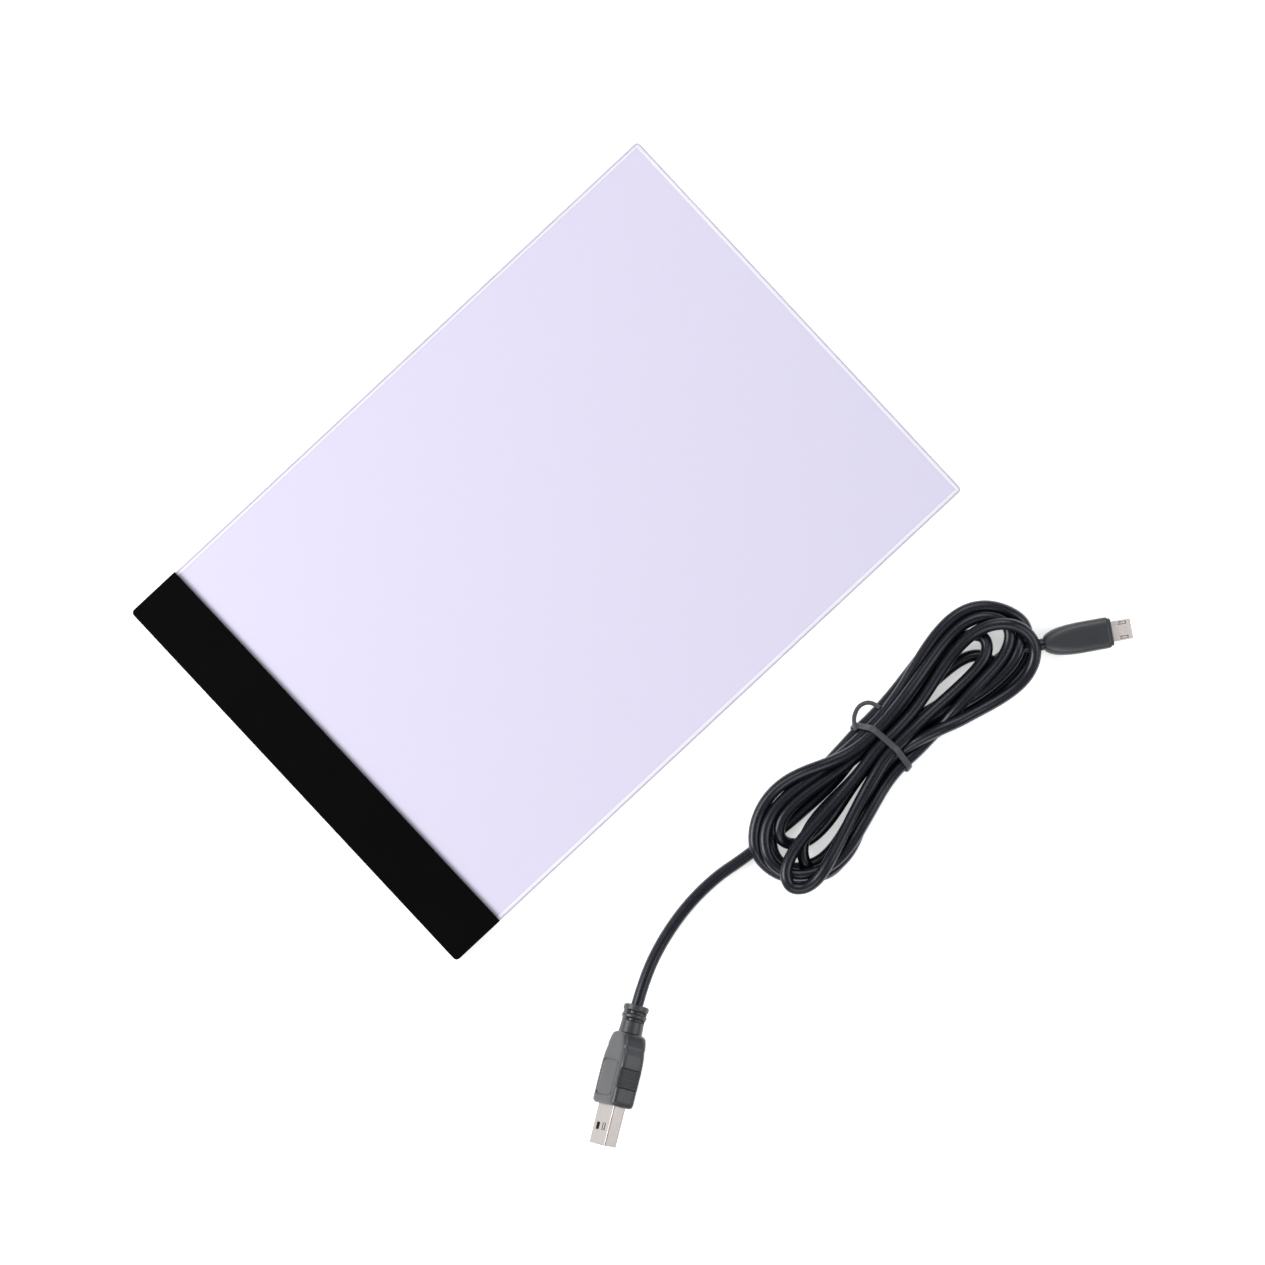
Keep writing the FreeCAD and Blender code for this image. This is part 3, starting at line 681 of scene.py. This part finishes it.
# %% [markdown]
# ## The twist tie
# A twist tie is a flat plastic strip with a wire in it, pulled round the bundle and twisted. Its path is
# the string that a tight rubber band would follow: the convex outline of the strands where they pass
# through the tie's own leaning plane. The ends make a bent loop that stands off to the left.

# %% The tie's path round the strands
tie_across = Vector((math.cos(waist_turn), math.sin(waist_turn), 0))
tie_along = Vector((-math.sin(waist_turn), math.cos(waist_turn), 0))
tie_width = 2.2 * mm
tie_thickness = 0.8 * mm
tie_corner = 0.3 * mm
tie_lean = 0.36
tie_lean_start = 3.0 * mm
tie_slice = 1.5 * mm  # the outline is taken from the cord this near the tie's plane
tie_reach = 14 * mm  # and this near the waist
tie_step = 0.9 * mm
points_round_cord = 24
tie_desk_gap = 0.3 * mm
tail_width, tail_thickness, tail_corner = 1.5 * mm, 1.0 * mm, 0.4 * mm


def convex_outline(points):
    """The convex outline of flat points, in order."""
    points = sorted(set(map(tuple, np.round(points, 7))))
    halves = []
    for ordered in (points, points[::-1]):
        chain = []
        for p in ordered:
            while len(chain) > 1:
                (ax, ay), (bx, by) = chain[-2], chain[-1]
                if (bx - ax) * (p[1] - ay) - (by - ay) * (p[0] - ax) > 0:
                    break
                chain.pop()
            chain.append(p)
        halves += chain[:-1]
    return np.array(halves)


def path_mesh(name, points, closed):
    """A mesh of edges only, which a tree turns into a path."""
    mesh = bpy.data.meshes.new(name)
    count = len(points)
    edges = [(i, (i + 1) % count) for i in range(count if closed else count - 1)]
    mesh.from_pydata([tuple(p) for p in points], edges, [])
    return mesh


from_waist = cord_path - np.array(waist * mm)
side = from_waist @ np.array(tie_across)
ahead = from_waist @ np.array(tie_along)
leaned = np.abs(ahead - tie_lean * (from_waist[:, 2] - tie_lean_start)) < tie_slice
leaned &= np.abs(side) < tie_reach
ring = np.linspace(0, 2 * math.pi, points_round_cord, endpoint=False)
clearance = cord_radius + tie_thickness / 2
around = [(s + clearance * math.cos(t), z + clearance * math.sin(t))
          for s, z in zip(side[leaned], from_waist[leaned, 2]) for t in ring]
outline = convex_outline(np.array(around))
outline = np.column_stack((outline, np.zeros(len(outline))))
outline = evenly(np.concatenate((outline, outline[:1])), tie_step)[:-1]
outline[:, 1] = np.maximum(outline[:, 1], tie_thickness / 2 + tie_desk_gap)
tie_points = [waist * mm + tie_across * sideways + Vector((0, 0, up))
              + tie_along * (tie_lean * (up - tie_lean_start)) for sideways, up, _ in outline]
band = grown("tie_band", strip_tree, {"Width": tie_width, "Thickness": tie_thickness,
             "Corner": tie_corner, "Tilt": math.pi / 2, "Finish": tie_black},
             path_mesh("tie_path", tie_points, True))
loop_corners = [(114.6, 35.0, 6.2), (112.2, 36.0, 5.6), (110.3, 38.3, 5.0), (109.4, 41.2, 4.8),
                (110.2, 43.8, 4.6), (112.0, 45.3, 4.9), (114.6, 45.9, 5.4)]
loop_line = line_of(nurbs_curve("tie_loop", loop_corners))
tie_loop = grown("tie_loop", strip_tree, {"Width": tail_width, "Thickness": tail_thickness,
                 "Corner": tail_corner, "Tilt": 0.0, "Finish": tie_black},
                 path_mesh("tie_loop_path", loop_line, False))
for piece in (band, tie_loop):
    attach(piece, "usb_lead")
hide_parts("twist_tie")
print("tie girth", round(len(tie_points) * tie_step / mm, 1), "mm")

# %% [markdown]
# ## The moulded grips
# Both grips are soft PVC moulded over the cord's end. A grip is a skin through cross-sections, each a
# superellipse: exponent 2 is a round section, a high exponent is a rounded rectangle. Points are spread
# evenly round each section and close together along the grip, so grooves, slots and recesses are real
# dents in the skin.

# %% Skins through sections
def plug_frame(shell, grip, forward):
    """The rear end of a plug's grip and its directions: forward, across and out of the broad face."""
    forward = np.array(forward) / np.linalg.norm(forward)
    points = np.array([v.co for v in nodes[shell].data.vertices])
    flat = points - points.mean(0)
    flat = flat - np.outer(flat @ forward, forward)
    across = np.linalg.eigh(flat.T @ flat)[1][:, 2]
    out = np.cross(forward, across)
    if out[2] < 0:
        across, out = -across, -out
    middle = across * (np.ptp(points @ across) / 2 + (points @ across).min())
    middle = middle + out * (np.ptp(points @ out) / 2 + (points @ out).min())
    rear = min(np.array(v.co) @ forward for v in nodes[grip].data.vertices)
    origin = middle + forward * rear
    rows = [(*row, at) for row, at in zip(np.column_stack((forward, across, out)), origin)]
    return Matrix(rows + [(0, 0, 0, 1)])


def section(half_width, half_height, squareness, count):
    """Points spread evenly round a superellipse."""
    fine_steps = 2400
    angle = np.linspace(0, 2 * math.pi, fine_steps + 1)
    wide = half_width * np.sign(np.cos(angle)) * np.abs(np.cos(angle)) ** (2 / squareness)
    high = half_height * np.sign(np.sin(angle)) * np.abs(np.sin(angle)) ** (2 / squareness)
    length = np.concatenate(([0], np.cumsum(np.hypot(np.diff(wide), np.diff(high)))))
    wanted = np.linspace(0, length[-1], count, endpoint=False)
    return np.column_stack((np.interp(wanted, length, wide), np.interp(wanted, length, high)))


def ring_faces(count, around):
    """Both end faces, and then the four-sided faces between rings of points."""
    faces = [tuple(range(around))[::-1], tuple(range((count - 1) * around, count * around))]
    for low in range(count - 1):
        for step in range(around):
            after = (step + 1) % around
            faces.append((low * around + step, low * around + after,
                          (low + 1) * around + after, (low + 1) * around + step))
    return faces


def skin(name, rings, place, finish, sharp=40):
    """A closed skin through rings of points given in the plug's own millimetres."""
    rings = np.array(rings)
    mesh = bpy.data.meshes.new(name)
    mesh.from_pydata([place @ Vector(p * mm) for p in rings.reshape(-1, 3)], [],
                     ring_faces(*rings.shape[:2]))
    work = bmesh.new()
    work.from_mesh(mesh)
    bmesh.ops.recalc_face_normals(work, faces=work.faces)
    work.to_mesh(mesh)
    work.free()
    mesh.shade_smooth()
    mesh.set_sharp_from_angle(angle=math.radians(sharp))
    mesh.materials.append(finish)
    return add_object(name, mesh)


def stations(table, x):
    """Half width, half height and squareness at x, from a table of stations along the grip."""
    table = np.array(table)
    return [np.interp(x, table[:, 0], table[:, column]) for column in (1, 2, 3)]


def soft_step(value, low, high):
    """0 below low, 1 above high, smooth between."""
    share = np.clip((value - low) / (high - low), 0, 1)
    return share * share * (3 - 2 * share)


# %% [markdown]
# ## The USB-A grip
# From the cord inwards: a round strain relief with two rings and two pairs of slots that let it bend, a
# square shoulder, a step band, and a flat field that widens forwards. A band on each narrow side is sunk for
# the ribs of the next step. Each broad face has a shallow recess outlined by a groove.

# %% The grip's skin
usb_a_mount = next(m for m in frame["record"]["mounts"] if m["name"] == "usb_a_plug_end")
usb_a_place = plug_frame("usb_a_shell", "usb_a_grip", usb_a_mount["axis"])
relief_end = 10.0
body_end = 34.4
rib_band = (21.6, 28.2)
rib_band_edge = 0.15
rib_depth = 0.35
# each station: place along the grip, half width, half height, squareness
usb_a_stations = [
    (0.0, 3.7, 3.7, 2.0), (0.35, 4.25, 4.25, 2.0), (1.7, 4.3, 4.3, 2.0),  # first ring
    (2.1, 3.95, 3.95, 2.0), (3.2, 3.95, 3.95, 2.0),  # first slots
    (3.5, 4.2, 4.2, 2.0), (4.3, 4.2, 4.2, 2.0),  # second ring
    (4.6, 3.9, 3.9, 2.0), (5.8, 3.8, 3.8, 2.0), (9.6, 3.95, 3.95, 2.1),  # second slots, neck
    (10.0, 4.9, 4.3, 3.0), (10.5, 5.5, 4.4, 4.5),  # shoulder
    (12.0, 6.3, 4.4, 5.5), (14.3, 7.1, 4.4, 6.0),
    (14.5, 7.1, 4.3, 6.0), (14.9, 7.2, 4.22, 6.0),  # step band
    (17.0, 7.8, 4.3, 6.5), (20.0, 8.25, 4.38, 6.5), (32.8, 8.3, 4.4, 6.5),  # flat field
    (33.6, 8.2, 4.3, 6.5), (34.1, 7.95, 4.05, 6.0), (body_end, 7.5, 3.6, 5.0),  # rounded front
]
slot_starts = (2.1, 4.6)
slot_edge = 0.1
slot_floor_end, slot_end = 0.9, 1.1  # counted from the slot's start
slot_depth = 0.32  # share of the radius
slot_bridge = (1.3, 1.7)  # nearer the middle than this, the relief stays whole
side_wall = (7.5, 7.9)  # farther out than this is a narrow side
broad_face = (3.5, 3.9)  # farther out than this is a broad face
recess_start, recess_end, recess_half = 19.4, 31.6, 5.6
recess_corner = 1.6
recess_floor = 0.14
recess_wall = (-0.3, 0.1)
groove_width = 0.45
groove_depth = 0.42


def usb_a_dents(x, points):
    """Move a section's points inwards at slots, rib bands and recess grooves."""
    wide, high = points[:, 0], points[:, 1]
    for start in slot_starts:
        inside = soft_step(x, start - slot_edge, start + slot_edge)
        inside = inside * (1 - soft_step(x, start + slot_floor_end, start + slot_end))
        sideways = soft_step(np.abs(wide), *slot_bridge)
        shrink = 1 - slot_depth * inside * sideways
        wide, high = wide * shrink, high * shrink
    in_band = soft_step(x, rib_band[0] - rib_band_edge, rib_band[0])
    in_band = in_band * (1 - soft_step(x, rib_band[1], rib_band[1] + rib_band_edge))
    at_side = soft_step(np.abs(wide), *side_wall)
    wide = wide - np.sign(wide) * rib_depth * in_band * at_side
    centre_x = (recess_start + recess_end) / 2
    along = np.abs(x - centre_x) - ((recess_end - recess_start) / 2 - recess_corner)
    beside = np.abs(points[:, 0]) - (recess_half - recess_corner)
    outside = np.hypot(np.maximum(along, 0), np.maximum(beside, 0))
    outside = outside + np.minimum(np.maximum(along, beside), 0)
    edge = outside - recess_corner
    on_face = soft_step(np.abs(points[:, 1]), *broad_face)
    groove = groove_depth * np.exp(-((edge / groove_width) ** 2) * 2)
    floor = recess_floor * (1 - soft_step(edge, *recess_wall))
    high = high - np.sign(high) * (groove + floor) * on_face
    return np.column_stack((wide, high))


# rings lie closest together where slots, ribs and the recess need them
fine_x = np.concatenate((
    np.linspace(0, 0.35, 4), np.arange(0.6, relief_end, 0.16), np.arange(relief_end, 19, 0.3),
    np.arange(19, 32.4, 0.16), np.arange(32.5, 33.6, 0.3), np.linspace(33.6, body_end, 6)))
usb_a_around = 168
usb_a_rings = []
for x in fine_x:
    dented = usb_a_dents(x, section(*stations(usb_a_stations, x), usb_a_around))
    usb_a_rings.append(np.column_stack((np.full(len(dented), x), dented)))
usb_a_grip = skin("usb_a_grip_skin", usb_a_rings, usb_a_place, grip_black)
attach(usb_a_grip, "usb_lead")
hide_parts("usb_a_grip")
print("USB-A grip rings:", len(fine_x), "faces:", len(usb_a_grip.data.polygons))

# %% [markdown]
# ## The ribs on the large grip
# Eight short bars stand in each side band and give the fingers hold. One bar is a small skin of its own,
# made once and repeated by the tree for rows, so a change to the bar changes all sixteen. Its ends shrink a
# little, as a moulded rib's do where the tool was rounded.

# %% Ribs in both side bands
rib_count = 8
rib_half_width, rib_half_depth, rib_height = 0.25, 0.42, 7.4
rib_squareness, rib_around = 3.0, 20
rib_ends = ((-1, 0.45), (-0.93, 0.85), (-0.85, 1), (0.85, 1), (0.93, 0.85), (1, 0.45))
grip_side = 8.27  # half width of the grip where the ribs stand
rib_sink = 0.06
usb_a_turn = usb_a_place.to_3x3()
rib_rings = []
for z, grow in rib_ends:
    bar = section(rib_half_width * grow, rib_half_depth * grow, rib_squareness, rib_around)
    rib_rings.append(np.column_stack((bar, np.full(len(bar), z * rib_height / 2))))
rib_pitch = (rib_band[1] - rib_band[0]) / rib_count
rib_step = usb_a_turn @ Vector((rib_pitch * mm, 0, 0))
for side_word, side_sign in (("left", 1), ("right", -1)):
    rib = skin("rib", rib_rings, usb_a_turn.to_4x4(), grip_black)
    first = Vector((rib_band[0] + rib_pitch / 2, side_sign * (grip_side - rib_depth - rib_sink), 0)) * mm
    ribs = grown("usb_a_ribs_" + side_word, row_tree, {"Piece": rib, "Count": rib_count,
                 "Start": usb_a_place @ first, "Step": rib_step, "Finish": grip_black})
    drop(rib)
    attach(ribs, "usb_lead")
print("ribs a side:", rib_count)

# %% [markdown]
# ## The micro-USB grip
# This one is bullet-shaped: it swells from a small ring round the cord to a blunt front, where a narrow
# collar steps in before the steel shell.

# %% The bullet's skin
latch = next(j for j in frame["record"]["behaviour"]["joints"] if j["name"] == "latch_left_flex")
micro_forward = Vector(latch["axis"]).cross(Vector((0, 0, 1)))
micro_place = plug_frame("micro_shell", "micro_grip", micro_forward)
micro_stations = [
    (0.0, 2.45, 2.45, 2.0), (0.3, 2.75, 2.65, 2.0), (0.9, 3.2, 2.8, 2.1), (1.8, 3.7, 2.95, 2.3),
    (3.0, 4.2, 3.1, 2.5), (5.0, 4.7, 3.25, 2.9), (8.0, 5.1, 3.4, 3.4), (12.0, 5.3, 3.47, 3.9),
    (21.5, 5.25, 3.5, 4.2), (21.9, 5.15, 3.42, 4.2), (22.1, 4.75, 3.05, 4.2),  # blunt front
    (22.7, 4.7, 3.0, 4.2), (22.9, 4.6, 2.9, 4.0), (23.0, 4.4, 2.7, 4.0),  # collar
]
micro_x = np.concatenate((np.arange(0, 2.0, 0.1), np.arange(2.0, 21.2, 0.45),
                          np.arange(21.3, 23.0, 0.1), [23.0]))
micro_around = 96
micro_rings = []
for x in micro_x:
    flat = section(*stations(micro_stations, x), micro_around)
    micro_rings.append(np.column_stack((np.full(len(flat), x), flat)))
micro_grip = skin("micro_grip_skin", micro_rings, micro_place, grip_black)
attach(micro_grip, "usb_lead")
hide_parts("micro_grip")
print("micro grip faces:", len(micro_grip.data.polygons))

# %% [markdown]
# ## The clear top sheet
# The sheet that the paper lies on is thin clear acrylic with laser-cut edges. The cut edge looks grey,
# because light leaves it sideways, so the edge faces and a hair-wide bevel get a grey colour of painted
# shade. The sheet floats a few microns above the film below it, as a loose sheet does, and so never
# shares a face.

# %% Sheet with polished edges, painted grey as shade
# the edges' grey colour is painted shade, for the light that leaves the cut edge sideways
sheet_edge = moulded("sheet_edge", (0.60, 0.58, 0.64), 0.3, 0.5 * mm, 0.002 * mm, 0.06, 0.4)
sheet_low, sheet_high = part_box("top_sheet")
sheet_lift = 0.02 * mm
sheet_corner = 1.2 * mm
sheet_bevel = 0.14 * mm
corner_steps = 8


def sheet_outline(low, high, corner, inset):
    """The sheet's outline, square at the strip and round at the far corners."""
    x, far, near = high.x - inset, high.y - inset, low.y + inset
    radius = corner - inset
    points = [(-x, near), (x, near)]
    for start, middle_x in ((0, x - radius), (90, -x + radius)):
        for step in range(corner_steps + 1):
            angle = math.radians(start + step * 90 / corner_steps)
            points.append((middle_x + radius * math.cos(angle), far - radius + radius * math.sin(angle)))
    return points


sheet_levels = [(sheet_low.z + sheet_lift, sheet_bevel), (sheet_low.z + sheet_lift + sheet_bevel, 0),
                (sheet_high.z - sheet_bevel, 0), (sheet_high.z, sheet_bevel)]
sheet_rings = [[Vector((x, y, z)) for x, y in sheet_outline(sheet_low, sheet_high, sheet_corner, inset)]
               for z, inset in sheet_levels]
sheet_mesh = bpy.data.meshes.new("drawing_sheet")
sheet_mesh.from_pydata([point for level in sheet_rings for point in level], [],
                       ring_faces(len(sheet_rings), len(sheet_rings[0])))
sheet_mesh.materials.append(clear_sheet)
sheet_mesh.materials.append(sheet_edge)
for polygon in sheet_mesh.polygons:
    polygon.material_index = 0 if polygon.index < 2 else 1  # the first two are the broad faces
drawing_sheet = add_object("drawing_sheet", sheet_mesh)
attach(drawing_sheet, "pad")
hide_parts("top_sheet")
print("sheet", [round(side / mm, 1) for side in sheet_high - sheet_low], "mm")

# %% [markdown]
# ## The feet
# The feet are soft rubber discs stuck to the back: one turned piece, with a shallow hollow in its underside
# as pressed feet have, put wherever the engineering model has a foot.

# %% Turned feet at the model's places
def turned(name, profile, finish, around=48):
    """A closed piece turned about the upright axis from (radius, height) pairs in millimetres."""
    angle = np.linspace(0, 2 * math.pi, around, endpoint=False)
    rings = [np.column_stack((radius * np.cos(angle), radius * np.sin(angle), np.full(around, height)))
             for radius, height in profile]
    return skin(name, rings, Matrix.Identity(4), finish, 50)


def middle_of(name):
    """The middle of a node's box."""
    low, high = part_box(name)
    return (low + high) / 2


foot_names = ["foot_near_left", "foot_near_right", "foot_far_left", "foot_far_right"]
foot_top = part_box(foot_names[0])[1].z / mm
foot_dish = [(1.0, 0.16), (2.4, 0.12), (3.0, 0.03)]
foot_profile = [(3.3, 0.0), (3.7, 0.05), (3.92, 0.2), (4.0, 0.42),
                (4.0, foot_top - 0.02), (3.95, foot_top)]
one_foot = turned("one_foot", foot_dish + foot_profile, finishes["foot_rubber"])
foot_points = [Vector((middle_of(name).x, middle_of(name).y, 0)) for name in foot_names]
feet = grown("rubber_feet", place_tree, {"Piece": one_foot, "Finish": finishes["foot_rubber"]},
             path_mesh("foot_places", foot_points, False))
drop(one_foot)
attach(feet, "pad")
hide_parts(*foot_names)
print("feet at", [tuple(round(c / mm) for c in p) for p in foot_points])

# %% [markdown]
# ## The light source
# Side-view LED chips stand in a row on their board and shine into the light guide's edge. Each has a white
# moulded package with a shallow yellow phosphor window in front.

# %% Chips in a row
chip_low, chip_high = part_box("led_chips")
chip_count = 24
chip_length = 3.0 * mm
package_depth = 0.92  # shares of the chip's depth, length and height
window_length, window_height, window_depth = 0.78, 0.6, 0.12
block_squareness, block_around = 8.0, 32
chip_pitch = ((chip_high.x - chip_low.x) - chip_length) / (chip_count - 1)
chip_depth, chip_height = chip_high.y - chip_low.y, chip_high.z - chip_low.z
chip_centre = (chip_low + chip_high) / 2
chip_start = Vector((chip_low.x + chip_length / 2, chip_centre.y, chip_centre.z))


def facing_block(name, length, height, depth, middle, finish):
    """A block with rounded corners that faces along +Y, its middle at that place on Y."""
    rings = []
    for share, grow in ((-0.5, 0.94), (-0.42, 1.0), (0.42, 1.0), (0.5, 0.94)):
        flat = section(length / 2 / mm * grow, height / 2 / mm * grow, block_squareness, block_around)
        along_y = np.full(len(flat), (middle + depth * share) / mm)
        rings.append(np.column_stack((flat[:, 0], along_y, flat[:, 1])))
    return skin(name, rings, Matrix.Identity(4), finish)


package = facing_block("package", chip_length, chip_height, chip_depth * package_depth,
                       -chip_depth * (1 - package_depth) / 2, finishes["board_white"])
window = facing_block("window", chip_length * window_length, chip_height * window_height,
                      chip_depth * window_depth, chip_depth * (1 - window_depth) / 2, finishes["led_cream"])
chips = {"led_packages": (package, "board_white"), "led_windows": (window, "led_cream")}
for name, (base, slot) in chips.items():
    row = grown(name, row_tree, {"Piece": base, "Count": chip_count, "Start": chip_start,
                "Step": Vector((chip_pitch, 0, 0)), "Finish": finishes[slot]})
    drop(base)
    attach(row, "pad")
    if name == "led_windows":
        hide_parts("led_chips")
print("chips:", chip_count, "pitch", round(chip_pitch / mm, 2), "mm")

# %% [markdown]
# ## What the cord is
# The cord leaves the micro plug's grip, runs through the hank and ends in the USB-A plug.

# %% [markdown]
# ## Finishes for the pieces that keep their engineering shape
# Every other piece is shown as the engineering model has it. Only its material slots change: each takes the
# finish that its name in the record asks for. The small plug's steel is paler than the large plug's.

# %% Give finishes to the remaining pieces
# a slot takes the finish of its own name, but for these five
finish_of = {**finishes, "bond_white": bond_film, "diffuser_lilac": diffuser_film,
             "reflector_white": finishes["reflector_film"], "back_white": finishes["back_plastic"],
             "cord_black": cord_jacket}
slot_of = {row["node"]: row["material_slot"] for row in frame["record"]["subparts"]}
for name, piece in nodes.items():
    material = finish_of[slot_of[name]]
    if name.startswith("micro_") and slot_of[name] == "plug_nickel":
        material = finishes["micro_nickel"]
    for material_slot in piece.material_slots:
        material_slot.material = material
print("finishes given to", len(nodes), "pieces")
